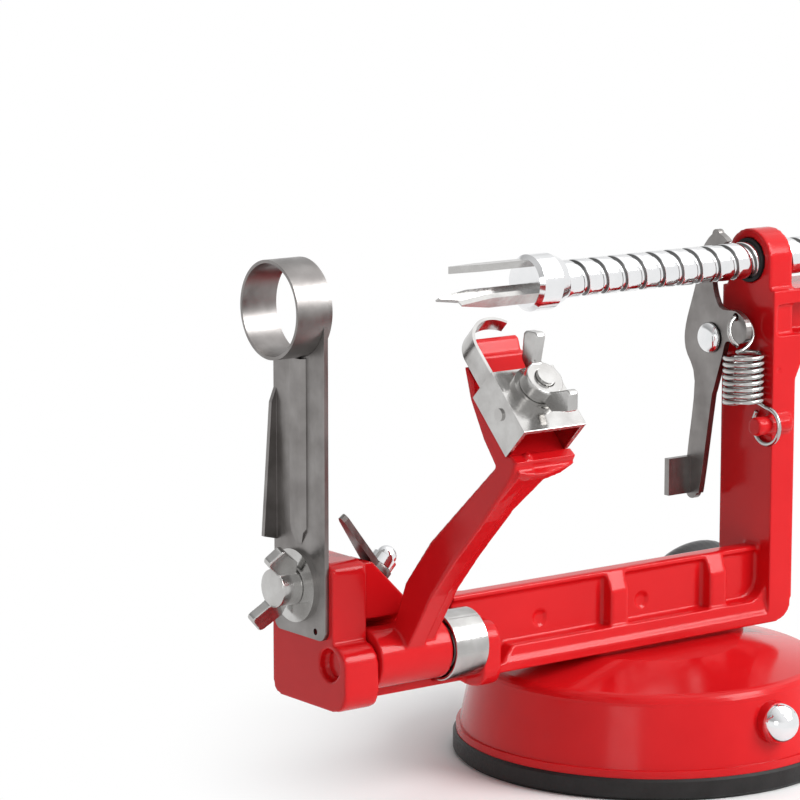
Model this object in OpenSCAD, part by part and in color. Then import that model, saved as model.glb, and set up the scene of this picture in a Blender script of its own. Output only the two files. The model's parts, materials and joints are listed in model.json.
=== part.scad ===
// Hand-cranked apple peeler, slicer and corer on a lever-locked suction base.
// The origin is the centre of the base on the table, with +Z up. The feed screw runs along X:
// the crank is at +X, the slicing blade at -X, and the peeling arm swings in front, towards -Y.
// All lengths are in millimetres.

/* [Layout] */
// Height of the feed screw's axis above the table
shaft_z = 127; // [123:1:132]
// Inner face of the upright, from the centre of the base
upright_x = 34; // [31:1:38]
// Thickness of the upright and of the rear bearing head
head_t = 8; // [7:0.5:10]
// Clear distance between the two bearing heads
bearing_gap = 46; // [42:1:54]
// Outer face of the blade post, from the centre of the base
post_x = -111; // [-116:1:-109]
// Thickness of the blade post
post_t = 10; // [9:0.5:12]
// Width of the blade post
post_w = 25; // [24:0.5:28]
// Height of the blade post
post_h = 35.2; // [34:0.2:36]
// Width of the bed, the upright and the top arm
frame_w = 20; // [19:0.5:22]
// Height of the bed's underside above the table
bed_z = 30.8; // [30:0.2:33]

/* [Bed] */
// Thickness of the bed's bottom flange
flange_t = 2.4; // [2:0.1:2.6]
// Height of the front ledge above the bed's underside
ledge_h = 6.2; // [5.5:0.1:7]
// Height of the web's top above the bed's underside
web_h = 20.5; // [19:0.5:22]
// Thickness of the web
web_t = 4; // [3.5:0.5:5]
// Front face of the web, from the screw's axis
web_y = -4.5; // [-5:0.1:-4]
// Thickness of the lip along the web's top edge
lip_t = 1.4; // [1:0.1:2]
// Width of each upright rib on the web
rib_w = 6; // [5:0.5:8]
// Diameter of the round dimples in the web
dimple_d = 4.4; // [3.5:0.1:6]
// Diameter of the bosses that take the bed bolts
boss_d = 11; // [10:0.5:12]
// Diameter of the bed bolts
bed_bolt_d = 5; // [4:0.5:6]
// Distance between the two bed bolts
bed_bolt_gap = 31; // [29:1:32]

/* [Bearings] */
// Outer radius of the bearing heads
head_r = 8.3; // [8:0.1:9]
// Outside diameter of the black bushes
bush_d = 11.6; // [11.2:0.1:12.2]
// Radial clearance of a turning fit
run_fit = 0.07; // [0.03:0.01:0.1]
// Clearance between faces that pass each other
gap = 0.4; // [0.3:0.1:0.6]
// Depth of the top arm's upper face below the screw's axis
arm_drop = 7.3; // [6.8:0.1:9]
// Height of the top arm
top_arm_h = 15; // [13:0.5:17]
// Fillet under the top arm
arm_fillet = 12; // [8:1:16]

/* [Base] */
// Radius of the painted base at its bottom edge
base_r = 49.5; // [48:0.5:50]
// Radius of the base at its shoulder
shoulder_r = 46; // [44.5:0.5:47]
// Height of the shoulder above the table
shoulder_z = 26; // [25:0.5:27]
// Wall of the base shell
shell_t = 2.6; // [2:0.2:3]
// Radius of the rubber cup's lip
cup_r = 50.8; // [50.6:0.1:52]
// Height of the rubber cup's rim
cup_h = 5.6; // [5:0.2:6]
// Radius of the boss in the middle of the cup
cup_boss_r = 13; // [11:0.5:15]

/* [Suction lever] */
// Height of the cross shaft above the table
cross_z = 17; // [16.5:0.5:17.5]
// Diameter of the cross shaft
cross_d = 7.6; // [7:0.2:8]
// Diameter of the cross shaft's domed head
cross_head_d = 10.4; // [10:0.1:11]
// Diameter of the eccentric
cam_d = 9; // [8.6:0.2:9.4]
// Throw of the eccentric
cam_throw = 2; // [1.6:0.1:2.2]
// Swing of the lever from free to locked, in degrees
lever_swing = 100; // [80:5:110]
// Rise of the lever at rest, in degrees
lever_rise = 13.5; // [11:0.5:18]
// Length of the lever from the cross shaft to the grip's end
lever_len = 74; // [68:1:82]
// Thickness of the lever
lever_t = 3; // [2.5:0.5:4]
// Width of the lever
lever_w = 11; // [9:0.5:13]
// Diameter of the lever's grip
lever_grip_d = 14; // [12:0.5:17]
// Length of the lever's grip
lever_grip_l = 26; // [22:1:30]

/* [Feed screw] */
// Diameter of the feed screw over its crests
screw_d = 9.7; // [9.3:0.1:10]
// Feed for each turn of the crank
pitch = 6.35; // [6:0.05:7]
// Width of the thread groove at the surface
groove_w = 2; // [1.9:0.1:2.6]
// Depth of the thread groove
groove_depth = 0.9; // [0.8:0.05:1.1]
// Distance from the upright to the back of the fork's hub at rest
fork_gap = 66; // [62:1:70]
// Distance from the rear bearing to the crank's washer at rest
crank_gap = 49; // [48.5:0.5:56]

/* [Fork] */
// Diameter of the fork's hub
fork_hub_d = 14.4; // [13.6:0.2:15]
// Length of the fork's hub
fork_hub_l = 10; // [9:0.5:12]
// Length of the prongs
prong_l = 24; // [20:1:26]
// Radius of the circle that the prongs stand on
prong_r = 5.2; // [4.8:0.1:5.6]
// Width of each prong
prong_w = 3; // [2.4:0.2:3.4]
// Thickness of each prong
prong_t = 1.8; // [1.4:0.1:2.2]

/* [Crank] */
// Radius of the crank
crank_r = 78; // [72:1:82]
// Diameter of the crank's hub
crank_hub_d = 18; // [16:0.5:20]
// Length of the crank's hub
crank_hub_l = 13; // [12:0.5:15]
// Thickness of the crank arm
crank_arm_t = 5; // [4:0.5:6]
// Width of the crank arm at the hub
crank_arm_w = 15; // [13:0.5:15.5]
// Thickness of the washer in front of the crank
crank_washer_t = 1.2; // [1:0.1:2]
// Diameter of the grip at its middle
grip_d = 24; // [21:0.5:27]
// Length of the grip
grip_l = 44; // [38:1:52]
// Diameter of the grip's spindle
spindle_d = 7; // [6:0.5:8]

/* [Feed pawl] */
// Thickness of the pawl's plate
pawl_t = 1.8; // [1.5:0.1:2]
// Distance from the upright to the middle of the pawl's plate
pawl_off = 5.5; // [5.3:0.1:5.8]
// Place of the pawl's pivot behind the screw's axis
pawl_pivot_y = 7.6; // [7.2:0.1:8]
// Depth of the pawl's pivot below the screw's axis
pawl_drop = 21; // [20.5:0.1:21.5]
// Diameter of the pawl's pivot pin
pawl_pin_d = 5; // [4.5:0.1:5.5]
// Thickness of the tooth that runs in the thread
tooth_t = 0.9; // [0.7:0.1:1]
// How far the tooth reaches into the groove
tooth_in = 0.55; // [0.4:0.05:0.6]
// Half the arc that the tooth spans, in degrees
tooth_arc = 9; // [6:1:10]
// Wire of the pawl's spring
pawl_wire = 1.1; // [1:0.05:1.2]
// Radius of the spring's coils, to the wire's centre
pawl_coil_r = 4.3; // [4:0.1:4.4]
// Turns of the spring
pawl_turns = 8; // [7:1:8]
// Advance of each turn of the spring
pawl_coil_pitch = 1.65; // [1.62:0.01:1.7]

/* [Peeling arm] */
// Place of the arm's pivot in front of the screw's axis
pivot_y = -11.5; // [-12:0.1:-11]
// Height of the arm's pivot above the bed's underside
pivot_h = 10.5; // [10.4:0.1:11]
// Half width of the lugs that hold the arm's pivot pin
lug_r = 6.6; // [6.2:0.1:7.2]
// Height of the lugs above the pivot pin's axis
lug_up = 5; // [4.6:0.1:5.6]
// Thickness of the inner lug
lug_t = 5.5; // [5:0.5:7]
// Diameter of the arm's pivot pin
arm_pin_d = 6; // [5.5:0.1:6.5]
// Radius of the arm's hub
hub_r = 7.6; // [7.2:0.1:7.8]
// Length of the arm's hub
hub_l = 21.6; // [21:0.2:23]
// Thickness of the arm
arm_t = 9; // [8:0.5:10]
// Lean of the arm's head from the vertical, in degrees
head_tilt = 45; // [43:1:47]
// Distance from the arm's pivot to the seat of the blade bracket
seat_out = 80.1; // [78:0.1:82]
// Width of the blade bracket
bracket_w = 18.6; // [17.5:0.1:19.5]
// Length of the blade bracket
bracket_l = 17.4; // [17:0.1:18.5]
// Depth of the bracket's side flanges
bracket_flange = 8.5; // [8:0.1:9]
// Sheet thickness of the bracket
sheet_t = 1.2; // [1:0.1:1.4]
// Thickness of the peeling blade
blade_t = 0.8; // [0.6:0.1:1]
// Width of the peeling blade
blade_w = 5.6; // [5:0.2:6.4]
// Height of the blade's hook above the bracket
hook_h = 16.5; // [14:0.5:18]
// Bend radius of the blade's hook
hook_r = 8; // [7.2:0.1:8.8]
// Width of the peeling blade at the end of its hook
blade_tip_w = 3; // [2.4:0.1:4]
// Diameter of the spring sleeve
sleeve_d = 17.2; // [16.6:0.1:17.6]
// Length of the spring sleeve
sleeve_l = 10; // [9.5:0.5:11]
// Wall of the spring sleeve
sleeve_t = 0.9; // [0.7:0.1:1]
// Wire of the arm's spring
arm_wire = 1.5; // [1.3:0.1:1.6]
// Radius of the arm spring's coils, to the wire's centre
arm_coil_r = 5.5; // [5.4:0.1:5.8]

/* [Slicer and corer] */
// Thickness of the slicing blade
slicer_t = 1.2; // [1:0.1:1.5]
// Width of the slicing blade
slicer_w = 21; // [20:0.5:22]
// Height of the slicing blade's lower end above the bed's underside
slicer_foot = 16.2; // [15.5:0.1:17]
// Height of the wing bolt above the bed's underside
wing_bolt_h = 28.4; // [27.4:0.1:29.4]
// Diameter of the wing bolt's shank
wing_bolt_d = 6; // [5.5:0.1:6.5]
// Outer radius of the corer ring
ring_r = 12; // [11.6:0.1:12.6]
// Wall of the corer ring
ring_t = 0.8; // [0.6:0.1:1]
// Length of the corer ring
ring_l = 9; // [8:0.5:10]
// Height of the bead's full section above the washer under the wing bolt
bead_rise = 6.7; // [6.3:0.1:9]
// Height of the cutting edge's lower end above the wing bolt
edge_rise = 10; // [9:0.5:12]
// Diameter of the washer under the wing bolt
wing_washer_d = 18; // [16:0.5:19]
// Thickness of the washers under the wings
washer_t = 1.2; // [1:0.1:1.5]

/* [Wings] */
// Span of a wing nut over its wings
wing_span = 24; // [22:0.2:26]
// Height of a wing nut over its wings
wing_h = 10.5; // [9.6:0.1:11.6]
// Thickness of the wings
wing_t = 2.5; // [2:0.1:3]
// Diameter of a wing nut's hub
wing_hub_d = 9.4; // [8.8:0.2:10]
// Height of the bracket nut's hub
nut_h = 4; // [3.6:0.2:5]
// Height of the slicer bolt's hub
bolt_head_h = 6; // [5:0.2:6.6]
// Diameter of the stud on the peeling arm's head
stud_d = 4.8; // [4.4:0.1:5.2]

/* [Arm catch] */
// Thickness of the catch lever
catch_t = 1.6; // [1.3:0.1:2]
// Reach of the catch lever above its screw
catch_l = 18; // [16:0.5:20]
// Diameter of the catch screw's domed head
catch_head_d = 5.2; // [4.8:0.2:6]
// Place of the catch screw in front of the screw's axis
catch_y = -7; // [-7.2:0.1:-6.6]

/* [Hidden] */
$fn = 48;

RED = "#c4161c";
CHROME = "#d9dbde";
STEEL = "#a9a49d";
ZINC = "#b9bdc0";
BLACK = "#1d1d1f";

// Overshoot of a cut past the faces that it goes through
cut = 1;

// Layout along the screw
rear_x = upright_x + head_t + bearing_gap;
rear_end = rear_x + head_t;
post_in = post_x + post_t;
post_y = -post_w / 2 - 0.5;
post_low = bed_z - 0.8;
half_w = frame_w / 2;
ledge_z = bed_z + ledge_h;
web_z = bed_z + web_h;
arm_top_z = shaft_z - arm_drop;
arm_low_z = arm_top_z - top_arm_h;
screw_r = screw_d / 2;
fork_back = upright_x - fork_gap;
fork_front = fork_back - fork_hub_l;
washer_x = rear_end + crank_gap;
crank_x = washer_x + crank_washer_t;

// Layout of the peeling arm along its pivot
pivot_z = bed_z + pivot_h;
hub_x = post_in + gap;
hub_end = hub_x + hub_l;
arm_x = hub_x + 7.6;
sleeve_x = hub_end + gap;
lug_x = sleeve_x + sleeve_l;
lug_end = lug_x + lug_t;
band_x = lug_end + 7;
sleeve_floor = 1;
arm_heel = [-2.4, 9];
arm_step = 0.8;
bracket_x = arm_x - 0.6;
bracket_end = bracket_x + bracket_w;
bracket_mid = bracket_x + bracket_w / 2;
bracket_low = 7.2;
bracket_high = bracket_low + bracket_l;
plate_top = seat_out + sheet_t;
stud_along = bracket_low + bracket_l / 2 + 2;
seat_from = bracket_low + 6;
seat_l = bracket_l - 7;
pin_sink = 2.2;
rivet_d = 2;
rivet_head_d = 3;

// Layout of the peeling blade: its leg, the bend of its hook and the finger inside the hook
leg_x = bracket_x + sheet_t;
blade_top = seat_out - 0.4;
bend_y = bracket_high + hook_h - hook_r;
hook_end = 52;
seat_x = leg_x + blade_t + gap;
finger_x = seat_x + 1.6;
finger_top = bend_y + sqrt(pow(hook_r - blade_t, 2) - pow(hook_r + leg_x - finger_x, 2)) - gap;

// Layout of the feed pawl
pawl_x = upright_x - pawl_off;
pawl_pivot_z = shaft_z - pawl_drop;
ear_y = -2.2;
ear_z = pawl_pivot_z + 6.6;
peg_y = -9.5;
peg_z = pawl_pivot_z - 21.7;
peg_d = 5;

// Layout of the slicer
wing_bolt_y = 0.4;
slicer_y = -1;
wing_bolt_z = bed_z + wing_bolt_h;
slicer_x = post_x - slicer_t;

// Layout of the catch: its plate lies on a rib that slopes at 45 degrees
catch_x = post_in + 6.9;
catch_z = bed_z + post_h - 4.8;
catch_bend = 10;
catch_lift = 0.3;
catch_top = catch_lift + catch_t;
catch_pin_d = 4;

// Layout of the bed: bolts behind the web, ribs in front of it
bolt_x = -14;
bolt_y = web_y + web_t + 4.7;
bolt_in = 8;
rib_places = [upright_x - 50, upright_x - 16];

// Layout of the base
cross_x = 1.5;
cross_bore = cross_d + 2 * run_fit;
cross_face = base_r - 0.5;
top_z = bed_z - 1.2;
stud_z = cup_h + 1.4;
cam_start = -lever_swing / 2;
cam_x = cross_x + cam_throw * cos(cam_start);
cam_z = cross_z + cam_throw * sin(cam_start);
lever_y = cross_face + 1;
pad_x = -24;
pad_w = frame_w - 6;
pad_l = upright_x - 4 - pad_x;
pad_t = 4;

// Bars, outlines and fillets

// A round bar along X
module bar_x(x0, x1, d) {
    translate([x0, 0, 0]) rotate([0, 90, 0]) cylinder(h = x1 - x0, d = d);
}

// A round bar along Y
module bar_y(y0, y1, d) {
    translate([0, y0, 0]) rotate([-90, 0, 0]) cylinder(h = y1 - y0, d = d);
}

// A shape and its mirror image across the XZ plane
module mirrored_y() {
    children();
    mirror([0, 1, 0]) children();
}

// A (y, z) outline drawn out along X
module run_x(x0, x1) {
    translate([x0, 0, 0]) rotate([90, 0, 90]) linear_extrude(x1 - x0) children();
}

// An (x, z) outline drawn out along Y
module run_y(y0, y1) {
    translate([0, y1, 0]) rotate([90, 0, 0]) linear_extrude(y1 - y0) children();
}

// A rectangle with round corners, from its lower left corner
module round_rect(w, h, r) {
    translate([r, 0]) square([w - 2 * r, h]);
    translate([0, r]) square([w, h - 2 * r]);
    for (x = [r, w - r], y = [r, h - r]) translate([x, y]) circle(r);
}

// The fill of an inside corner whose legs run along +x and +y
module corner_fill(r) {
    difference() {
        square(r);
        translate([r, r]) circle(r);
    }
}

module at_screw() { translate([0, 0, shaft_z]) children(); }
module at_pivot() { translate([0, pivot_y, pivot_z]) children(); }
module at_head() { at_pivot() rotate([head_tilt, 0, 0]) children(); }
module at_pawl() { translate([0, pawl_pivot_y, pawl_pivot_z]) children(); }
module at_wing_bolt() { translate([0, wing_bolt_y, wing_bolt_z]) children(); }
module at_catch() { translate([catch_x, catch_y, catch_z]) rotate([0, 45, 0]) children(); }
module at_cross() { translate([cross_x, 0, cross_z]) children(); }
module at_lever() { at_cross() rotate([0, -lever_rise, 0]) children(); }

// A point of the arm's head, given along and out of its slope, as (y, z) from the pivot
function head_point(along, out) = [
    along * cos(head_tilt) - out * sin(head_tilt),
    along * sin(head_tilt) + out * cos(head_tilt)];

// A closed outline eased into a smooth curve through its points
function eased(p, steps) = let (n = len(p)) [for (i = [0 : n - 1], k = [0 : steps - 1])
    let (t = k / steps, a = p[(i + n - 1) % n], b = p[i], c = p[(i + 1) % n], d = p[(i + 2) % n])
    (2 * b + (c - a) * t + (2 * a - 5 * b + 4 * c - d) * t * t + (3 * b - a - 3 * c + d) * t * t * t) / 2];

// Swept tubes

function unit(v) = v / norm(v);
function heading(p, i) = unit(p[min(i + 1, len(p) - 1)] - p[max(i - 1, 0)]);
function squared(n, t) = unit(n - (n * t) * t);
// The side direction of each ring, carried along the path without twist
function sides_of(p, n, i = 0) = i >= len(p) ? [] :
    let (m = squared(n, heading(p, i))) concat([m], sides_of(p, m, i + 1));

// A tube along the points of a path, closed at both ends
module tube(path, d, start_side, faces = 6) {
    normals = sides_of(path, start_side);
    last = len(path) - 1;
    points = [for (i = [0 : last]) let (t = heading(path, i), m = normals[i], b = cross(t, m))
        for (k = [0 : faces - 1]) path[i] + d / 2 * (cos(360 * k / faces) * m + sin(360 * k / faces) * b)];
    walls = [for (i = [0 : last - 1], k = [0 : faces - 1])
        let (k1 = (k + 1) % faces, a = i * faces, b = a + faces)
        each [[a + k, b + k, b + k1], [a + k, b + k1, a + k1]]];
    start_cap = [for (k = [1 : faces - 2]) [0, k, k + 1]];
    end_cap = [for (k = [1 : faces - 2]) [last * faces, last * faces + k + 1, last * faces + k]];
    polyhedron(points, concat(walls, start_cap, end_cap));
}

// The least gap between turns of a tube, measured on points that lie some steps apart
function least_gap(p, d, skip) = min([for (i = [0 : len(p) - 1 - skip], j = [i + skip : len(p) - 1])
    norm(p[i] - p[j])]) - d;

// Wing nuts

// Two wings on a round hub, with the axis along Z. Each wing is a plate with a flat slanting end
// and round corners.
module wings(hub_h) {
    wing_in = wing_hub_d / 2 - 1;
    wing_out = wing_span / 2;
    end_w = 3.8;
    corner_r = 1.3;
    outer = [wing_out, wing_h - end_w];
    inner = [wing_out - end_w, wing_h];
    foot = [wing_out - 4.2, 1.4];
    neck = [wing_in + 0.4, hub_h - 0.2];
    across = unit(inner - outer);
    down = unit(foot - outer);
    back = unit(neck - inner);
    cylinder(h = hub_h, d = wing_hub_d);
    for (turn = [0, 180]) rotate([90, 0, turn]) translate([0, 0, -wing_t / 2]) linear_extrude(wing_t) {
        polygon([[wing_in, 0.6], foot, outer + corner_r * down, outer + corner_r * across,
            inner - corner_r * across, inner + corner_r * back, neck]);
        translate(outer + corner_r * (down + across)) circle(corner_r);
        translate(inner + corner_r * (back - across)) circle(corner_r);
    }
}

// Base

// Half outline of the base's outside, or of its hollow when set in by a wall
function base_outline(inset) = let (round_r = 3 - min(inset, 2)) concat(
    [[0, cup_h]], [[base_r - inset, cup_h]],
    [for (a = [0 : 15 : 75]) [shoulder_r - inset - round_r + round_r * cos(a),
        shoulder_z - inset - round_r + round_r * sin(a)]],
    [[24, top_z - inset], [0, top_z - inset]]);

module base_shell() {
    color(RED) difference() {
        union() {
            rotate_extrude($fn = 96) polygon(base_outline(0));
            translate([0, 0, cup_h]) cylinder(h = 2, r = base_r + 0.5, $fn = 96);
            translate([pad_x, -pad_w / 2, bed_z - pad_t]) linear_extrude(pad_t) round_rect(pad_l, pad_w, 4);
            at_cross() mirrored_y() bar_y(38, cross_face, cross_d + 3.2);
        }
        difference() {
            rotate_extrude($fn = 96) polygon(concat([[0, 0], [base_r - shell_t, 0]],
                [for (i = [1 : 9]) base_outline(shell_t)[i]]));
            at_cross() mirrored_y() bar_y(32, cross_face, cross_d + 6);
        }
        at_cross() bar_y(-cross_face - cut, cross_face + cut, cross_bore);
        bolt_places() translate([0, 0, -cut]) cylinder(h = bed_z + 2 * cut, d = bed_bolt_d + 0.4);
    }
}

module suction_cup() {
    color(BLACK) rotate_extrude($fn = 96) polygon([[0, 0], [cup_r - 1, 0], [cup_r, 1], [cup_r, cup_h - 0.6],
        [cup_r - 0.6, cup_h], [cup_boss_r + 1, cup_h], [cup_boss_r, stud_z], [0, stud_z]]);
}

// Plate and yoke on the middle of the cup: the eccentric runs in the yoke's slot
module cup_stud() {
    slot_h = cam_d + 0.3;
    slot_w = cam_d + 2 * cam_throw + 1;
    yoke_top = cam_z + slot_h / 2 + 2.6;
    color(ZINC) difference() {
        union() {
            translate([0, 0, stud_z]) cylinder(h = 2, r = cup_boss_r - 1);
            run_y(-4, 4) translate([cross_x - slot_w / 2 - 2.5, stud_z])
                square([slot_w + 5, yoke_top - stud_z]);
        }
        run_y(-4 - cut, 4 + cut) translate([cross_x - slot_w / 2, cam_z - slot_h / 2])
            square([slot_w, slot_h]);
    }
}

module cross_shaft() {
    color(CHROME) {
        difference() {
            at_cross() translate([0, -cross_face, 0]) sphere(d = cross_head_d);
            at_cross() bar_y(-cross_face, 0, cross_head_d + 2);
        }
        at_cross() bar_y(-cross_face - 0.5, -4.6, cross_d);
        at_cross() bar_y(4.6, lever_y + lever_t + 4, cross_d);
        translate([cam_x, 0, cam_z]) bar_y(-5, 5, cam_d);
    }
}

module suction_lever() {
    bar_l = lever_len - 8;
    color(ZINC) difference() {
        at_lever() run_y(lever_y, lever_y + lever_t) {
            circle(d = lever_w + 5);
            translate([0, -lever_w / 2]) square([bar_l - lever_w / 2, lever_w]);
            translate([bar_l - lever_w / 2, 0]) circle(d = lever_w);
        }
        at_cross() bar_y(lever_y - cut, lever_y + lever_t + cut, cross_d);
    }
}

// Moulded grip, round at its end, slotted to take the lever
module lever_grip() {
    grip_from = lever_len - lever_grip_l;
    mid_y = lever_y + lever_t / 2;
    bar_l = lever_len - 8;
    color(BLACK) difference() {
        at_lever() translate([0, mid_y, 0]) rotate([0, 90, 0]) rotate_extrude()
            polygon(concat([[0, grip_from]],
                [for (i = [0 : 12]) let (s = i / 6 - 1) [lever_grip_d / 2 * sqrt(1 - 0.86 * s * s),
                    grip_from + lever_grip_l * i / 12]], [[0, lever_len]]));
        at_lever() run_y(lever_y, lever_y + lever_t) {
            translate([grip_from - cut, -lever_w / 2])
                square([bar_l - lever_w / 2 - grip_from + cut, lever_w]);
            translate([bar_l - lever_w / 2, 0]) circle(d = lever_w);
        }
    }
}

module lever_nut() {
    nut_y = lever_y + lever_t;
    color(CHROME) difference() {
        at_cross() union() {
            bar_y(nut_y, nut_y + 4, 13);
            translate([0, nut_y + 4, 0]) intersection() {
                sphere(d = 11);
                bar_y(0, 6, 12);
            }
        }
        at_cross() bar_y(nut_y - cut, nut_y + 4, cross_d);
    }
}

// Casting

// The bed bolts stand in a row behind the web
module bolt_places() {
    for (x = [bolt_x, bolt_x + bed_bolt_gap]) translate([x, bolt_y, 0]) children();
}

module bed() {
    run_x(post_x, upright_x + head_t) translate([-half_w, bed_z]) square([frame_w, flange_t]);
    difference() {
        run_x(band_x, upright_x + cut) polygon([[-half_w, bed_z], [-half_w, bed_z + 2.6],
            [-half_w + 0.7, bed_z + 3.2], [-half_w + 1.5, ledge_z],
            [web_y + 1, ledge_z], [web_y + 1, bed_z]]);
        run_y(-half_w - cut, web_y) polygon([[band_x - cut, bed_z + flange_t],
            [band_x - cut, ledge_z + cut], [band_x + ledge_h - cut, ledge_z + cut],
            [band_x, bed_z + flange_t]]);
    }
    run_x(lug_x, upright_x + cut) translate([web_y, bed_z]) square([web_t, web_h]);
    run_x(lug_x, upright_x + cut) translate([web_y - 1, web_z - lip_t]) square([web_t + 1, lip_t]);
    run_x(post_in - cut, lug_end) translate([web_y + web_t - 1, bed_z]) square([web_t, web_h]);
    for (x = rib_places) run_x(x - rib_w / 2, x + rib_w / 2) polygon([[web_y + 1, ledge_z - 1],
        [web_y - 3.4, ledge_z - 1], [web_y - 3.4, web_z - 5.5], [web_y - 1, web_z], [web_y + 1, web_z]]);
    bolt_places() translate([0, 0, bed_z]) cylinder(h = bolt_in + 2, d = boss_d);
    run_y(-half_w + 1.5, web_y + web_t) translate([upright_x, ledge_z]) mirror([1, 0]) corner_fill(6);
}

module head_outline() {
    translate([0, shaft_z]) circle(head_r);
    translate([-head_r, arm_low_z]) square([2 * head_r, shaft_z - arm_low_z]);
}

module upright() {
    run_x(upright_x, upright_x + head_t) {
        translate([-half_w, bed_z]) square([frame_w, arm_top_z - bed_z]);
        head_outline();
    }
}

// I-section arm from the upright to the rear bearing, with the rear head at its end
module top_arm() {
    arm_x0 = upright_x + head_t - cut;
    run_x(arm_x0, rear_end) translate([-half_w, arm_top_z - 3.7]) square([frame_w, 3.7]);
    run_x(arm_x0, rear_end) translate([-half_w, arm_low_z]) square([frame_w, 3]);
    run_x(arm_x0, rear_end) translate([-4, arm_low_z]) square([8, top_arm_h]);
    run_x(rear_x, rear_end) head_outline();
    run_y(-half_w, half_w) translate([upright_x + head_t, arm_low_z]) mirror([0, 1]) corner_fill(arm_fillet);
}

module lug_outline() {
    translate([pivot_y - lug_r, post_low]) round_rect(2 * lug_r, pivot_z + lug_up - post_low, 5);
}

module blade_post() {
    run_x(post_x, post_in) translate([post_y, post_low]) round_rect(post_w, bed_z + post_h - post_low, 3);
    run_x(post_x, post_in) lug_outline();
    run_x(lug_x, lug_end) lug_outline();
    run_x(lug_x, lug_end) translate([pivot_y, bed_z]) square([web_y - pivot_y + 1, pivot_h + lug_up]);
}

// Rib that slopes down from the post and carries the catch
module catch_rib() {
    difference() {
        run_y(catch_y - 4.5, catch_y + 4.5) polygon([[post_in - cut, bed_z + cut],
            [post_in - cut, bed_z + post_h - cut],
            [catch_x + catch_z - bed_z - post_h + cut, bed_z + post_h - cut], [catch_x + 9, catch_z - 9],
            [catch_x + 9, bed_z + cut]]);
        at_pivot() bar_x(post_in, sleeve_x, 2 * (norm(arm_heel) + gap));
    }
}

module main_frame() {
    color(RED) difference() {
        union() {
            bed();
            upright();
            top_arm();
            blade_post();
            catch_rib();
            translate([0, peg_y, peg_z]) bar_x(pawl_x - 0.5, upright_x + head_t - 2, peg_d);
            at_pawl() bar_x(pawl_x + pawl_t / 2 + gap, upright_x + cut, pawl_pin_d + 4);
        }
        at_screw() bar_x(upright_x - cut, upright_x + head_t + cut, bush_d);
        at_screw() bar_x(rear_x - cut, rear_end + cut, bush_d);
        at_pivot() bar_x(post_x - cut, lug_end + cut, arm_pin_d);
        at_pivot() bar_x(post_x - cut, post_x + pin_sink, arm_pin_d + 2);
        at_pivot() bar_x(sleeve_x - gap, lug_x, sleeve_d + 2 * gap);
        at_pivot() bar_x(post_in, sleeve_x, 2 * (hub_r + gap));
        at_wing_bolt() bar_x(post_x - cut, post_in + cut, wing_bolt_d + 2 * run_fit);
        at_catch() translate([0, 0, -12]) cylinder(h = 13, d = catch_pin_d);
        at_pawl() bar_x(pawl_x, upright_x + head_t - 2, pawl_pin_d);
        bolt_places() translate([0, 0, bed_z - cut]) cylinder(h = bolt_in + cut, d = bed_bolt_d);
        for (x = [upright_x - 74, upright_x - 40])
            translate([x, 0, ledge_z + ledge_h * 0.75]) bar_y(web_y - cut, web_y + 0.6, dimple_d);
        mirrored_y() run_y(half_w - 1.2, half_w + cut) translate([upright_x + 1.4, arm_low_z + 3])
            round_rect(head_t + 4, top_arm_h - 6.7, 1.2);
        translate([upright_x + 2.2, 0, arm_low_z - 6]) bar_y(-half_w - cut, -half_w + 0.5, 1.6);
        run_y(-half_w - cut, half_w + cut) translate([upright_x + head_t, bed_z])
            mirror([1, 0]) corner_fill(6);
    }
}

module bed_bolts() {
    seat_z = top_z - shell_t;
    hex_h = 0.7 * bed_bolt_d;
    color(ZINC) bolt_places() {
        translate([0, 0, seat_z - hex_h]) cylinder(h = hex_h, d = 1.8 * bed_bolt_d, $fn = 6);
        translate([0, 0, seat_z - cut]) cylinder(h = bed_z + bolt_in - seat_z + cut, d = bed_bolt_d);
    }
}

// Bushes and feed screw

module bush(x0) {
    color(BLACK) at_screw() difference() {
        bar_x(x0 - 0.5, x0 + head_t + 0.5, bush_d);
        bar_x(x0 - 0.5 - cut, x0 + head_t + 0.5 + cut, screw_d + 2 * run_fit);
    }
}

module front_bush() { bush(upright_x); }
module rear_bush() { bush(rear_x); }

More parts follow.
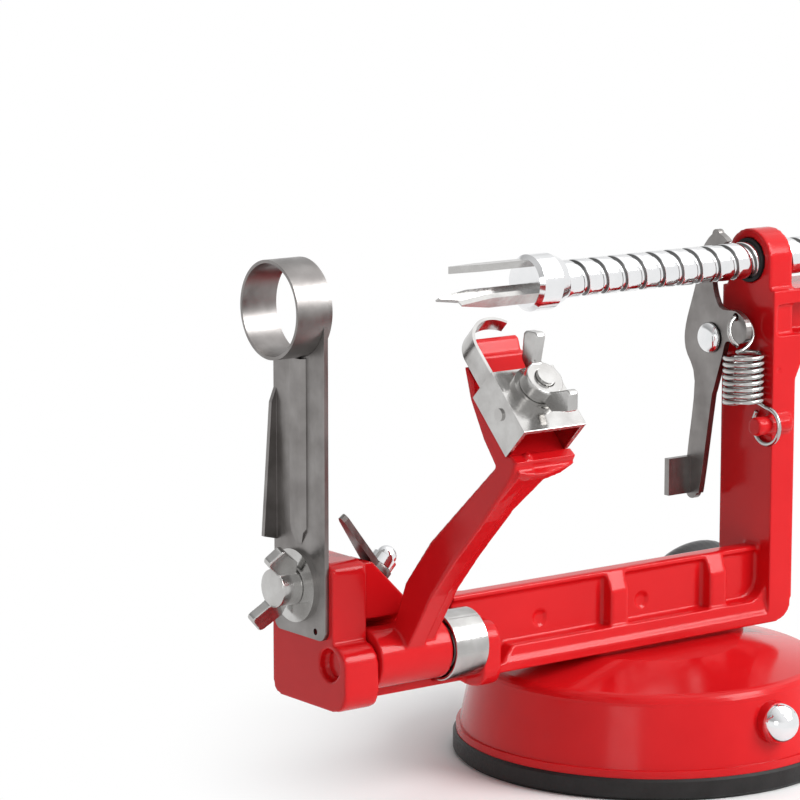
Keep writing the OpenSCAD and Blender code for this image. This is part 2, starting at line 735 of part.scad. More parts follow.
// Right-handed thread: one land and one groove wind along the whole rod.
// The tooth's side of the groove lies at the pawl when the crank is at rest.
module feed_screw() {
    steps = 20;
    screw_from = fork_front + 2;
    screw_to = crank_x + crank_hub_l - 4;
    turns = floor((screw_to - screw_from) / pitch - 1);
    rows = turns * steps;
    root_w = groove_w - groove_depth;
    offset_x = pawl_x - pitch * ceil((pawl_x - screw_from) / pitch - 1);
    land = [[groove_w / 2, screw_r], [pitch - groove_w / 2, screw_r],
        [pitch - root_w / 2, screw_r - groove_depth], [pitch + root_w / 2, screw_r - groove_depth]];
    thread = [for (i = [0 : rows], j = [0 : 3]) let (a = 360 * i / steps)
        [offset_x + pitch * i / steps + land[j][0], land[j][1] * cos(a), land[j][1] * sin(a)]];
    tips = [[offset_x + pitch / 2, 0, 0], [offset_x + pitch * (turns + 0.5), 0, 0]];
    first = len(thread);
    last = first + 1;
    walls = [for (i = [0 : rows - 1], j = [0 : 2]) let (a = 4 * i + j, b = a + 4)
        each [[a, a + 1, b + 1], [a, b + 1, b]]];
    seams = [for (i = [0 : rows - steps - 1]) let (a = 4 * i + 3, b = a + 4, c = 4 * (i + steps), d = c + 4)
        each [[a, c, d], [a, d, b]]];
    start = concat([for (i = [0 : steps - 1]) [4 * i, 4 * i + 4, first]],
        [for (j = [0 : 2]) [j + 1, j, first]], [[4 * steps, 3, first]]);
    end = concat([for (i = [rows - steps : rows - 1]) [4 * i + 7, 4 * i + 3, last]],
        [for (j = [0 : 2]) [4 * rows + j, 4 * rows + j + 1, last]],
        [[4 * (rows - steps) + 3, 4 * rows, last]]);
    color(CHROME) at_screw() polyhedron(concat(thread, tips), concat(walls, seams, start, end));
}

module fork_hub() {
    color(CHROME) at_screw() difference() {
        rotate([0, 90, 0]) rotate_extrude() polygon([[0, fork_front], [fork_hub_d / 2 - 1, fork_front],
            [fork_hub_d / 2, fork_front + 1], [fork_hub_d / 2, fork_back - 3],
            [fork_hub_d / 2 - 1.2, fork_back], [0, fork_back]]);
        bar_x(fork_front + 1.4, fork_back + cut, screw_d + 0.04);
    }
}

module fork_prongs() {
    tip_l = 9;
    color(ZINC) at_screw() for (turn = [90, 210, 330]) rotate([turn, 0, 0]) translate([0, prong_r, 0])
        rotate([90, 0, 0]) translate([0, 0, -prong_t / 2]) linear_extrude(prong_t)
            polygon([[fork_front, -prong_w / 2], [fork_front, prong_w / 2],
                [fork_front - prong_l + tip_l, prong_w / 2], [fork_front - prong_l, 0.2],
                [fork_front - prong_l, -0.2], [fork_front - prong_l + tip_l, -prong_w / 2]]);
}

// Crank

module crank_washer() {
    color(ZINC) at_screw() difference() {
        bar_x(washer_x, crank_x, crank_hub_d - 1);
        bar_x(washer_x - cut, crank_x + cut, screw_d + 2 * run_fit);
    }
}

// Flat arm with a boss on the screw and an eye for the spindle
module crank_arm() {
    arm_from = crank_x + crank_hub_l - crank_arm_t;
    eye_r = spindle_d / 2 + 3.4;
    color(CHROME) at_screw() difference() {
        union() {
            bar_x(crank_x, crank_x + crank_hub_l, crank_hub_d);
            run_x(arm_from, arm_from + crank_arm_t) {
                polygon([[-crank_arm_w / 2, 0], [crank_arm_w / 2, 0], [eye_r, -crank_r], [-eye_r, -crank_r]]);
                translate([0, -crank_r]) circle(eye_r);
            }
        }
        bar_x(crank_x - cut, crank_x + crank_hub_l - 3, screw_d + 0.04);
        translate([0, 0, -crank_r]) bar_x(arm_from - cut, arm_from + crank_arm_t + cut, spindle_d - 1.5);
        translate([crank_x + 4, 0, 0]) cylinder(h = crank_hub_d, d = 4);
    }
}

module crank_set_screw() {
    color(ZINC) at_screw() translate([crank_x + 4, 0, screw_r + 0.1]) {
        cylinder(h = crank_hub_d / 2 - screw_r + 0.4, d = 4);
        translate([0, 0, crank_hub_d / 2 - screw_r - 0.1]) cylinder(h = 2.4, d = 6.6);
    }
}

// Layout of the crank's grip on its spindle
grip_x = crank_x + crank_hub_l + gap;
spindle_end = grip_x + grip_l + gap;

module at_grip() { translate([0, 0, shaft_z - crank_r]) children(); }

module grip_spindle() {
    arm_from = crank_x + crank_hub_l - crank_arm_t;
    color(CHROME) at_grip() {
        bar_x(arm_from - 1.6, arm_from, spindle_d + 2);
        bar_x(arm_from - cut, arm_from + crank_arm_t + cut, spindle_d - 1.5);
        bar_x(crank_x + crank_hub_l, spindle_end, spindle_d);
        bar_x(spindle_end - cut, spindle_end + 3, spindle_d - 3);
    }
}

// Round grip, fuller at its middle, bored for the spindle
module crank_grip() {
    bulge = [for (i = [0 : 12]) let (s = i / 12)
        [grip_d / 2 - 3.2 * pow(2 * s - 1, 2) - (i % 12 == 0 ? 1.4 : 0), grip_x + grip_l * s]];
    color(BLACK) at_grip() difference() {
        rotate([0, 90, 0]) rotate_extrude() polygon(concat([[0, grip_x]], bulge, [[0, grip_x + grip_l]]));
        bar_x(grip_x - cut, grip_x + grip_l + cut, spindle_d + 2 * run_fit);
    }
}

// Domed cap that keeps the grip on its spindle
module spindle_cap() {
    cap_r = spindle_d / 2 + 2.4;
    cap_h = 5;
    color(CHROME) at_grip() difference() {
        rotate([0, 90, 0]) rotate_extrude() polygon(concat([[0, spindle_end]],
            [for (a = [0 : 15 : 90]) [cap_r * cos(a), spindle_end + 0.8 + (cap_h - 0.8) * sin(a)]]));
        bar_x(spindle_end - cut, spindle_end + 3, spindle_d - 3);
    }
}

// Feed pawl

// Outline of the pawl from its pivot, as (y, z)
pawl_outline = [[-1.6, 28.2], [-7.4, 25.2], [-7.4, 23.4], [-2.2, 18], [-0.6, 14.6], [-3.4, 8.4],
    [-9.8, 8], [-13.6, 5.4], [-13.8, 1.2], [-10.4, -0.6], [-6.2, -0.4], [-4.6, -4.6], [-1.4, -14],
    [-0.6, -17], [3.2, -39.6], [4.6, -42.8], [9, -42.8], [8.6, -33], [6, -12.5], [9.8, -4], [9.8, 2.4],
    [6.2, 13.4], [3.8, 23]];

// Wedge of the tooth, from the screw's axis
function tooth_outline() = [for (a = [-tooth_arc, tooth_arc]) [screw_r - tooth_in, a],
    for (a = [tooth_arc, -tooth_arc]) [screw_r + 1.6, a]];

module feed_pawl() {
    tab_l = 8.5;
    color(STEEL) difference() {
        union() {
            difference() {
                run_x(pawl_x - pawl_t / 2, pawl_x + pawl_t / 2) translate([pawl_pivot_y, pawl_pivot_z]) {
                    polygon(eased(pawl_outline, 4));
                    translate([-1.6, 27.6]) circle(1.4);
                    translate([6.8, -42.2]) circle(2.2);
                }
                at_screw() bar_x(pawl_x - pawl_t, pawl_x + pawl_t, screw_d + 1);
            }
            run_x(pawl_x - tooth_t / 2, pawl_x + tooth_t / 2) translate([0, shaft_z])
                polygon([for (p = tooth_outline()) p[0] * [cos(p[1]), sin(p[1])]]);
            translate([pawl_x - tab_l, pawl_pivot_y + 7.2, pawl_pivot_z - 43]) cube([tab_l, pawl_t, 10]);
        }
        at_pawl() bar_x(pawl_x - pawl_t, pawl_x + pawl_t, pawl_pin_d + 2 * run_fit);
        translate([0, ear_y, ear_z]) bar_x(pawl_x - pawl_t, pawl_x + pawl_t, pawl_wire + 1.1);
    }
}

module pawl_pin() {
    head_x = pawl_x - pawl_t / 2 - gap;
    color(CHROME) at_pawl() {
        bar_x(head_x - cut, upright_x + head_t - 2, pawl_pin_d);
        rotate([0, 90, 0]) rotate_extrude() polygon([[0, head_x - 1.8], [pawl_pin_d / 2, head_x - 1.8],
            [pawl_pin_d / 2 + 1.6, head_x - 0.6], [pawl_pin_d / 2 + 1.6, head_x], [0, head_x]]);
    }
}

// Extension spring from the pawl's ear to the peg on the upright: a ring through the ear, close coils,
// a straight run off the side of the last coil, and a loop round the peg
pawl_ring_r = 4.1;
pawl_loop_r = 4.9;
coil_y = -5.1;
coil_top = ear_z - 9.6;
coil_foot = coil_top - pawl_turns * pawl_coil_pitch;
loop_y = peg_y + 0.8;
loop_z = coil_foot - 1;
ring_lean = atan2(ear_y - coil_y, 9.6);

// A point of the ring, counted round from its side, over the ear and down again
function ring_point(a) = let (down = pawl_ring_r + pawl_ring_r * sin(a))
    [pawl_x + pawl_ring_r * cos(a), ear_y - down * sin(ring_lean), ear_z - down * cos(ring_lean)];
function coil_point(a, r, z) = [pawl_x + r * cos(a), coil_y - r * sin(a), z];
function loop_point(a) = [pawl_x + pawl_coil_r, loop_y - pawl_loop_r * sin(a),
    loop_z - pawl_loop_r * (1 - cos(a))];

function pawl_spring_path() = concat(
    [ring_point(180) - [0, 0, pawl_wire]],
    [for (a = [180 : 30 : 420]) ring_point(a)],
    [for (s = [1 : 5]) coil_point(180 + 36 * s, pawl_coil_r * s / 5, coil_top + 0.9 * (1 - s / 5))],
    [for (i = [1 : 8 * pawl_turns]) coil_point(45 * i, pawl_coil_r, coil_top - pawl_coil_pitch * i / 8)],
    [for (a = [0 : 30 : 300]) loop_point(a)],
    [loop_point(300) + pawl_wire * unit(loop_point(301) - loop_point(300))]);

module pawl_spring() {
    echo(pawl_spring_least_gap = least_gap(pawl_spring_path(), pawl_wire, 6));
    color(ZINC) tube(pawl_spring_path(), pawl_wire, [0, 1, 0]);
}

// Peeling arm

module arm_outline() {
    polygon(concat([[4, 6], arm_heel, [-6.4, 19], [-16.3, 30.8]],
        [head_point(bracket_low + 1, seat_out - 13.8), head_point(bracket_low - 0.3, seat_out - 8),
        head_point(bracket_low - 3.6, seat_out - 8.4), head_point(bracket_low - 4.6, seat_out - 12)],
        [[-36.6, 38.7], [-25.2, 27], [-16.7, 17.3], [-6.6, 2]]));
}

// Head of the arm across its slope: shelf, guide finger behind the blade and seat for the bracket
module head_outline_side() {
    polygon([[bracket_low - 4.4, seat_out - 13], [bracket_low + 1, seat_out - 13.8],
        [bracket_low + 8.3, seat_out - 13], [bracket_high + 0.6, seat_out - 10.3],
        [bracket_high + 8, seat_out - 6.4], [bracket_high + 9, seat_out - 4.6],
        [bracket_high + 7.6, seat_out - 3.4], [bracket_high, seat_out - bracket_flange - 0.1],
        [bracket_low - 0.2, seat_out - bracket_flange - 0.1], [bracket_low - 0.6, seat_out - 7.4],
        [bracket_low - 3, seat_out - 7]]);
}

// Upper part of the guide finger, inside the blade's hook
module finger_outline() {
    polygon([[bracket_high - cut, seat_out - bracket_flange - 0.5], [bracket_high + 0.6, seat_out - 10.3],
        [finger_top - 1, seat_out - 5.6], [finger_top, seat_out - 4.2],
        [finger_top - 0.6, seat_out - 3], [finger_top - 1.8, seat_out - 2.8]]);
}

// Shelf that widens the arm under the bracket, as (x, along)
module shelf_outline() {
    polygon([[arm_x + 1, bracket_low - 3], [arm_x + 1, bracket_low - 4.7],
        [arm_x + 4, bracket_low - 5.6], [arm_x + arm_t, bracket_low - 5.8],
        [bracket_end - 4, bracket_low - 4.8],
        [bracket_end, bracket_low - 3.8], [bracket_end, bracket_low - 3]]);
}

// The arm flares from its own width to the bracket's, as (x, out)
module flare_outline() {
    arm_end = arm_x + arm_t;
    polygon([[arm_x - cut, seat_out - 32], [arm_end - 1.4, seat_out - 32], [arm_end - 0.4, seat_out - 27],
        [arm_end + 3.4, seat_out - 13.4], [bracket_end - 3, seat_out - 11.4], [bracket_end, seat_out - 9.6],
        [bracket_end, seat_out], [arm_x - cut, seat_out]]);
}

// Gusset under the shelf: its face turns back towards the far side
module gusset_outline() {
    polygon([[arm_x + 1, bracket_low - 5.2], [arm_x + arm_t, bracket_low - 4.4],
        [bracket_end, bracket_low - 3], [bracket_end, bracket_low + 0.4], [arm_x + 1, bracket_low + 0.4]]);
}

module peel_arm() {
    color(RED) difference() {
        union() {
            at_pivot() bar_x(hub_x, hub_end, 2 * hub_r);
            at_pivot() run_x(arm_x, arm_x + arm_t * 0.6) arm_outline();
            at_pivot() run_x(arm_x + arm_t * 0.6 - cut, arm_x + arm_t) intersection() {
                arm_outline();
                translate([arm_step, arm_step]) arm_outline();
            }
            at_head() intersection() {
                union() {
                    run_x(bracket_x + 0.6, bracket_end) head_outline_side();
                    translate([0, 0, seat_out - 11.4]) linear_extrude(2.6) shelf_outline();
                    translate([0, 0, seat_out - 30]) linear_extrude(20) gusset_outline();
                }
                run_y(bracket_low - 12, bracket_high + 12) flare_outline();
            }
            at_head() translate([seat_x, seat_from, seat_out - bracket_flange - cut])
                cube([bracket_end - sheet_t - gap - seat_x, seat_l, bracket_flange + cut]);
            at_head() run_x(finger_x, bracket_end - 1.6) finger_outline();
            at_head() translate([bracket_x + 5, bracket_low - 1.4, seat_out - 7.4]) sphere(1.2);
        }
        at_pivot() bar_x(hub_x - cut, hub_end + cut, arm_pin_d + 2 * run_fit);
        at_head() translate([bracket_mid, stud_along, seat_out - 9]) cylinder(h = 10, d = stud_d);
        at_head() translate([bracket_x - cut, bracket_high - cut, blade_top - blade_w - gap])
            cube([seat_x - bracket_x + cut, hook_h + cut, blade_w + gap]);
    }
}

module arm_pivot_pin() {
    color(STEEL) at_pivot() {
        bar_x(post_x + pin_sink, lug_end + 1.2, arm_pin_d);
    }
}

// Cup that covers the arm's spring: its floor rests on the inner lug
module spring_sleeve() {
    color(ZINC) at_pivot() difference() {
        bar_x(sleeve_x, lug_x, sleeve_d);
        bar_x(sleeve_x - cut, lug_x - sleeve_floor, sleeve_d - 2 * sleeve_t);
        bar_x(sleeve_x - cut, lug_x + cut, arm_pin_d + 0.6);
    }
}

// Torsion spring round the pivot pin
function arm_spring_path() = let (turns = 3.5, rest = arm_wire / 2 + 0.3, from_x = hub_end + rest,
    run = lug_x - sleeve_floor - rest - from_x)
    concat([[from_x, arm_coil_r, -arm_wire]],
    [for (i = [0 : 8 * turns])
        [from_x + run * i / (8 * turns), arm_coil_r * cos(45 * i), arm_coil_r * sin(45 * i)]],
    [[from_x + run, -arm_coil_r, -arm_wire]]);

module arm_spring() {
    echo(arm_spring_least_gap = least_gap(arm_spring_path(), arm_wire, 6));
    color(STEEL) at_pivot() tube(arm_spring_path(), arm_wire, [1, 0, 0]);
}

// Channel of sheet steel over the arm's head, open at both ends
module blade_bracket() {
    color(ZINC) at_head() difference() {
        translate([bracket_x, bracket_low, seat_out - bracket_flange])
            cube([bracket_w, bracket_l, bracket_flange + sheet_t]);
        translate([leg_x, bracket_low - cut, seat_out - bracket_flange - cut])
            cube([bracket_w - 2 * sheet_t, bracket_l + 2 * cut, bracket_flange + cut]);
        translate([bracket_mid, stud_along, seat_out - cut])
            cylinder(h = sheet_t + 2 * cut, d = stud_d + 0.3);
        at_rivet() bar_x(bracket_x - cut, leg_x + cut, rivet_d);
    }
}

module at_rivet() {
    translate([0, bracket_low + bracket_l * 0.48, blade_top - blade_w / 2]) children();
}

// Strip blade: a leg inside the bracket's flange, bent over at its top into an open hook
// that grows narrower towards its end
module peel_blade() {
    low = blade_top - blade_w;
    reach = hook_r * (1 + cos(hook_end));
    color(ZINC) at_head() difference() {
        translate([leg_x, 0, low]) linear_extrude(blade_w) {
            translate([0, bracket_low + 2]) square([blade_t, bend_y - bracket_low - 2]);
            translate([hook_r, bend_y]) intersection() {
                difference() {
                    circle(hook_r);
                    circle(hook_r - blade_t);
                }
                polygon([[0, 0], [-3 * hook_r, 0], [-3 * hook_r, 3 * hook_r],
                    [3 * hook_r * cos(hook_end), 3 * hook_r * sin(hook_end)]]);
            }
        }
        run_y(bend_y, bend_y + hook_r + cut) translate([leg_x, low]) polygon([[0, -cut], [blade_t, 0],
            [reach, blade_w - blade_tip_w], [reach + cut, blade_w - blade_tip_w], [reach + cut, -cut]]);
        at_rivet() bar_x(leg_x - cut, leg_x + blade_t + cut, rivet_d);
    }
}

module blade_rivet() {
    color(ZINC) at_head() at_rivet() {
        bar_x(bracket_x - 0.5, bracket_x, rivet_head_d);
        bar_x(bracket_x - 0.3, leg_x + blade_t + gap / 2, rivet_d);
    }
}

module bracket_stud() {
    color(ZINC) at_head() translate([bracket_mid, stud_along, 0])
        translate([0, 0, seat_out - 8.6]) cylinder(h = 8.6 + sheet_t + washer_t + nut_h + 1, d = stud_d);
}

module bracket_washer() {
    color(ZINC) at_head() translate([bracket_mid, stud_along, plate_top]) difference() {
        cylinder(h = washer_t, d = wing_hub_d + 2.6);
        translate([0, 0, -cut]) cylinder(h = washer_t + 2 * cut, d = stud_d + 0.3);
    }
}

module bracket_wing_nut() {
    color(ZINC) at_head() translate([bracket_mid, stud_along, plate_top + washer_t])
        difference() {
            rotate([0, 0, 90]) wings(nut_h);
            translate([0, 0, -cut]) cylinder(h = wing_h + cut, d = stud_d + 2 * run_fit);
        }
}

// Stiffening bead of the slicing blade, which runs out to a point above the washer
module slicer_bead() {
    run_out = 5.5;
    half_foot = 3.6;
    slope = 1.4;
    bead_t = slicer_t;
    from_z = wing_bolt_z + wing_washer_d / 2 + bead_rise;
    point_z = from_z - run_out;
    difference() {
        translate([slicer_x, slicer_y, point_z]) linear_extrude(shaft_z - point_z - ring_r)
            polygon([[cut, -half_foot], [-bead_t, slope - half_foot], [-bead_t, half_foot - slope],
                [cut, half_foot]]);
        translate([0, slicer_y, 0]) mirrored_y() run_x(slicer_x - 2 * bead_t, slicer_x + cut)
            polygon([[cut, point_z - cut], [cut, point_z], [half_foot, from_z], [half_foot + cut, from_z],
                [half_foot + cut, point_z - cut]]);
        run_y(slicer_y - half_foot - cut, slicer_y + half_foot + cut) translate([slicer_x, 0])
            polygon([[0, point_z - cut], [0, point_z], [-bead_t, from_z], [-2 * bead_t, from_z],
                [-2 * bead_t, point_z - cut]]);
    }
}

// Slicing blade on the post, with the corer ring at the end of it on the screw's axis
module slicer_blade() {
    foot_z = bed_z + slicer_foot;
    edge_y = slicer_y - slicer_w / 2;
    slot_w = wing_bolt_d + 0.4;
    slot_h = slot_w / 2;
    wing_z = wing_bolt_z + edge_rise;
    color(STEEL) difference() {
        union() {
            run_x(slicer_x, post_x) difference() {
                translate([edge_y, foot_z]) round_rect(slicer_w, shaft_z - foot_z, 2.5);
                translate([wing_bolt_y - slot_w / 2, wing_bolt_z - slot_h]) square([slot_w, 2 * slot_h]);
                for (side = [-slot_h, slot_h]) translate([wing_bolt_y, wing_bolt_z + side])
                    circle(d = slot_w);
                translate([edge_y + 4, foot_z + 2]) circle(d = 1.6);
            }
            slicer_bead();
            run_y(edge_y + slicer_w - slicer_t, edge_y + slicer_w)
                polygon([[slicer_x + 0.2, wing_z], [slicer_x - 3.8, wing_z + 1],
                    [slicer_x - 1.4, shaft_z - ring_r - 12], [slicer_x + 0.2, shaft_z - ring_r - 8]]);
        }
        at_screw() bar_x(slicer_x - 6, post_x + cut, 2 * ring_r + 0.04);
    }
}

module corer_ring() {
    color(STEEL) at_screw() difference() {
        bar_x(post_x - ring_l, post_x + 1, 2 * ring_r);
        bar_x(post_x - ring_l - cut, post_x + 1 + cut, 2 * (ring_r - ring_t));
    }
}

module slicer_washer() {
    color(ZINC) at_wing_bolt() difference() {
        bar_x(slicer_x - washer_t, slicer_x, wing_washer_d);
        bar_x(slicer_x - washer_t - cut, slicer_x + cut, wing_bolt_d + 0.4);
    }
}

module slicer_wing_bolt() {
    wing_lean = 25;
    color(ZINC) at_wing_bolt() {
        translate([slicer_x - washer_t, 0, 0]) rotate([wing_lean, 0, 0]) rotate([0, -90, 0])
            wings(bolt_head_h);
        bar_x(slicer_x - washer_t - cut, post_in - 0.5, wing_bolt_d);
    }
}

// Catch that holds the peeling arm out

module arm_catch() {
    color(STEEL) at_catch() difference() {
        union() {
            translate([0, 0, catch_lift]) linear_extrude(catch_t) circle(3.6);
            translate([-2.6, 0, catch_lift]) rotate([0, catch_bend, 0]) linear_extrude(catch_t)
                polygon([[0, 2.6], [-catch_l + 3.8, 1.1], [-catch_l + 2.8, 0.6], [-catch_l + 2.6, 0],
                    [-catch_l + 2.8, -0.6], [-catch_l + 3.8, -1.1], [0, -2.6]]);
        }
        translate([0, 0, -cut]) cylinder(h = catch_top + 2 * cut, d = catch_pin_d + 2 * run_fit);
    }
}

module catch_screw() {
    color(CHROME) at_catch() {
        translate([0, 0, -11]) cylinder(h = 11 + catch_top + gap, d = catch_pin_d);
        translate([0, 0, catch_top + 0.2]) cylinder(h = 2.4, d = catch_head_d + 1.4);
        translate([0, 0, catch_top + 3.2]) sphere(d = catch_head_d);
    }
}

base_shell();
suction_cup();
cup_stud();
cross_shaft();
suction_lever();
lever_grip();
lever_nut();
main_frame();
bed_bolts();
front_bush();
rear_bush();
feed_screw();
fork_hub();
fork_prongs();
crank_washer();
crank_arm();
crank_set_screw();
grip_spindle();
crank_grip();
spindle_cap();
feed_pawl();
pawl_pin();
pawl_spring();
peel_arm();
arm_pivot_pin();
spring_sleeve();
arm_spring();
blade_bracket();
peel_blade();
blade_rivet();
bracket_stud();
bracket_washer();
bracket_wing_nut();
slicer_blade();
corer_ring();
slicer_washer();
slicer_wing_bolt();
arm_catch();
catch_screw();
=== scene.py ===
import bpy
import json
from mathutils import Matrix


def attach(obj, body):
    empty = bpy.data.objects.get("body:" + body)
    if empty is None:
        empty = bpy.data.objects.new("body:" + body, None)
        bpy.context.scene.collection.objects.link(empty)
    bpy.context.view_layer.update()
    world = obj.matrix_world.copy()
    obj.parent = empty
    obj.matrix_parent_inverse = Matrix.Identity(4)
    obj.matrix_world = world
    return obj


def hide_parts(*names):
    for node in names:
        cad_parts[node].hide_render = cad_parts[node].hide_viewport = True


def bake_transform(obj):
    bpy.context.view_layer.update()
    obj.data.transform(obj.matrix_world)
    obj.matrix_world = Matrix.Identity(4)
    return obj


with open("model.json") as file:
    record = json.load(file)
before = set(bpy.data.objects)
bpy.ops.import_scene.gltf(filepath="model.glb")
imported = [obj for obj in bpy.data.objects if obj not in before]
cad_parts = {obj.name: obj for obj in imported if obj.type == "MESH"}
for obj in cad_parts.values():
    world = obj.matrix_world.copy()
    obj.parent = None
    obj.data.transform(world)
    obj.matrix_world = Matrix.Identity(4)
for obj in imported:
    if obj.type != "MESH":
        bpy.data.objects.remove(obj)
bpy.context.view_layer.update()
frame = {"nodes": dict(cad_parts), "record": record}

import json
import math

import bmesh
import bpy
from mathutils import Matrix, Vector

MM = 0.001
FULL_TURN = 2 * math.pi
scene = bpy.context.scene
nodes = frame["nodes"]


# Camera: fitted to the photograph, in its own frame of 800 x 800; lengths in mm

PHOTO_WIDTH_PX = 800
FOCAL_LENGTH_PX = 3535.14
SENSOR_WIDTH = 36
AZIMUTH = math.radians(37.0)
ELEVATION = math.radians(9.68)
AIM = Vector((0, 0, 1))
DISTANCE, SHIFT_RIGHT, SHIFT_UP = 931.43, -64.71, 90.74

level = math.cos(ELEVATION)
back = Vector((-math.sin(AZIMUTH) * level, -math.cos(AZIMUTH) * level, math.sin(ELEVATION)))
right = Vector((math.cos(AZIMUTH), -math.sin(AZIMUTH), 0))
up = back.cross(right)

lens = bpy.data.cameras.new("camera")
lens.sensor_width = SENSOR_WIDTH
lens.lens = FOCAL_LENGTH_PX / PHOTO_WIDTH_PX * SENSOR_WIDTH
lens.clip_start = 0.01
lens.clip_end = 100
camera = bpy.data.objects.new("camera", lens)
camera.matrix_world = Matrix((right, up, back)).transposed().to_4x4()
camera.location = (back * DISTANCE + right * SHIFT_RIGHT + up * SHIFT_UP + AIM) * MM
bpy.context.collection.objects.link(camera)
scene.camera = camera


# Node helpers

NOISE_SPAN = (0.3, 0.7)     # the part of the noise that carries a change
UNIT = (0, 1)


def new_material(name):
    m = bpy.data.materials.new(name)
    m.use_nodes = True
    return m, m.node_tree, m.node_tree.nodes["Principled BSDF"]


def noise(tree, scale, detail=3.0, stretch=(1, 1, 1)):
    """Noise in the part's own coordinates; scale is in cycles per metre."""
    place = tree.nodes.new("ShaderNodeTexCoord")
    mapping = tree.nodes.new("ShaderNodeMapping")
    mapping.inputs["Scale"].default_value = stretch
    tree.links.new(place.outputs["Object"], mapping.inputs["Vector"])
    tex = tree.nodes.new("ShaderNodeTexNoise")
    tex.inputs["Scale"].default_value = scale
    tex.inputs["Detail"].default_value = detail
    tree.links.new(mapping.outputs["Vector"], tex.inputs["Vector"])
    return tex.outputs["Fac"]


def ramp(tree, value, stops):
    node = tree.nodes.new("ShaderNodeValToRGB")
    while len(node.color_ramp.elements) < len(stops):
        node.color_ramp.elements.new(0.5)
    for element, (place, colour) in zip(node.color_ramp.elements, stops):
        element.position = place
        element.color = (*colour, 1)
    tree.links.new(value, node.inputs["Fac"])
    return node.outputs["Color"]


def map_range(tree, value, source, target, kind="LINEAR"):
    """Carries a value from the source range to the target range."""
    node = tree.nodes.new("ShaderNodeMapRange")
    node.interpolation_type = kind
    node.inputs["From Min"].default_value, node.inputs["From Max"].default_value = source
    node.inputs["To Min"].default_value, node.inputs["To Max"].default_value = target
    tree.links.new(value, node.inputs["Value"])
    return node.outputs["Result"]


def bump(tree, shader, height, strength, distance):
    node = tree.nodes.new("ShaderNodeBump")
    node.inputs["Strength"].default_value = strength
    node.inputs["Distance"].default_value = distance
    tree.links.new(height, node.inputs["Height"])
    tree.links.new(node.outputs["Normal"], shader.inputs["Normal"])


def math_node(tree, operation, a, b):
    node = tree.nodes.new("ShaderNodeMath")
    node.operation = operation
    tree.links.new(a, node.inputs[0])
    tree.links.new(b, node.inputs[1])
    return node.outputs["Value"]


def colour_socket(sockets, name):
    """The colour socket of that name on a node that has one of each type."""
    return next(s for s in sockets if s.name == name and s.type == "RGBA")


# Materials: colours and roughness drift over the surface, each from one value to another;
# grain is the relief's scale, strength and distance

FINISHES = {
    "red_enamel": dict(
        colours=[(0.57, 0.006, 0.009), (0.63, 0.009, 0.012)],
        roughness=(0.14, 0.20), grain=(260.0, 0.04, 0.00004), shine=0.22, blotch=45.0),
    "bright_chrome": dict(
        colours=[(0.78, 0.79, 0.80), (0.86, 0.86, 0.87)],
        roughness=(0.06, 0.14), grain=(900.0, 0.04, 0.00004), metallic=1.0),
    "plain_steel": dict(
        colours=[(0.20, 0.188, 0.182), (0.29, 0.277, 0.27)],
        roughness=(0.28, 0.40), grain=(700.0, 0.10, 0.00005), metallic=1.0, stretch=(1, 1, 0.12)),
    "zinc_plate": dict(
        colours=[(0.42, 0.41, 0.40), (0.56, 0.555, 0.545)],
        roughness=(0.13, 0.23), grain=(800.0, 0.06, 0.00004), metallic=1.0, blotch=160.0),
    "cup_rubber": dict(
        colours=[(0.008, 0.007, 0.007), (0.016, 0.015, 0.015)],
        roughness=(0.42, 0.60), grain=(1500.0, 0.12, 0.00006), shine=0.3),
    "black_plastic": dict(
        colours=[(0.010, 0.010, 0.011), (0.018, 0.018, 0.020)],
        roughness=(0.26, 0.38), grain=(1200.0, 0.10, 0.00005)),
    "bush_plastic": dict(
        colours=[(0.008, 0.008, 0.009), (0.015, 0.015, 0.016)],
        roughness=(0.40, 0.54), grain=(1200.0, 0.10, 0.00005), shine=0.3),
    # painted shade: a dark steel for the screw's groove walls, standing in for the shadow in the
    # groove
    "painted_groove_shade": dict(
        colours=[(0.10, 0.10, 0.10), (0.20, 0.20, 0.20)],
        roughness=(0.34, 0.48), grain=(900.0, 0.10, 0.00005), metallic=1.0),
}


def finish_material(name, colours, roughness, grain, metallic=0.0, shine=0.5, blotch=140.0,
                    stretch=(1, 1, 1)):
    m, tree, shader = new_material(name)
    grain_scale, grain_strength, grain_distance = grain
    drift = noise(tree, blotch, detail=4.0)
    colour = ramp(tree, drift, list(zip(NOISE_SPAN, colours)))
    tree.links.new(colour, shader.inputs["Base Color"])
    fine = noise(tree, grain_scale, stretch=stretch)
    tree.links.new(map_range(tree, fine, NOISE_SPAN, roughness), shader.inputs["Roughness"])
    bump(tree, shader, fine, grain_strength, grain_distance)
    shader.inputs["Metallic"].default_value = metallic
    shader.inputs["Specular IOR Level"].default_value = shine
    return m


materials = {name: finish_material(name, **look) for name, look in FINISHES.items()}


# Mesh helpers; lengths in mm

WELD_DISTANCE = 2e-6                    # metres
FLAT_ANGLE = math.radians(1)
SHARP_ANGLE = math.radians(40)
WIRE_SIDES = 12
WIRE_STEPS = 4
TURNED_SIDES = 48


def polar(degrees):
    return math.cos(math.radians(degrees)), math.sin(math.radians(degrees))


def circle(sides):
    """Points on a circle of radius 1."""
    angles = [FULL_TURN * k / sides for k in range(sides)]
    return [(math.cos(a), math.sin(a)) for a in angles]


def mesh_object(name, points, faces, *mats):
    mesh = bpy.data.meshes.new(name)
    mesh.from_pydata([Vector(p) * MM for p in points], [], faces)
    work = bmesh.new()
    work.from_mesh(mesh)
    bmesh.ops.recalc_face_normals(work, faces=work.faces)
    work.to_mesh(mesh)
    work.free()
    for m in mats:
        mesh.materials.append(m)
    mesh.shade_smooth()
    obj = bpy.data.objects.new(name, mesh)
    bpy.context.collection.objects.link(obj)
    return obj


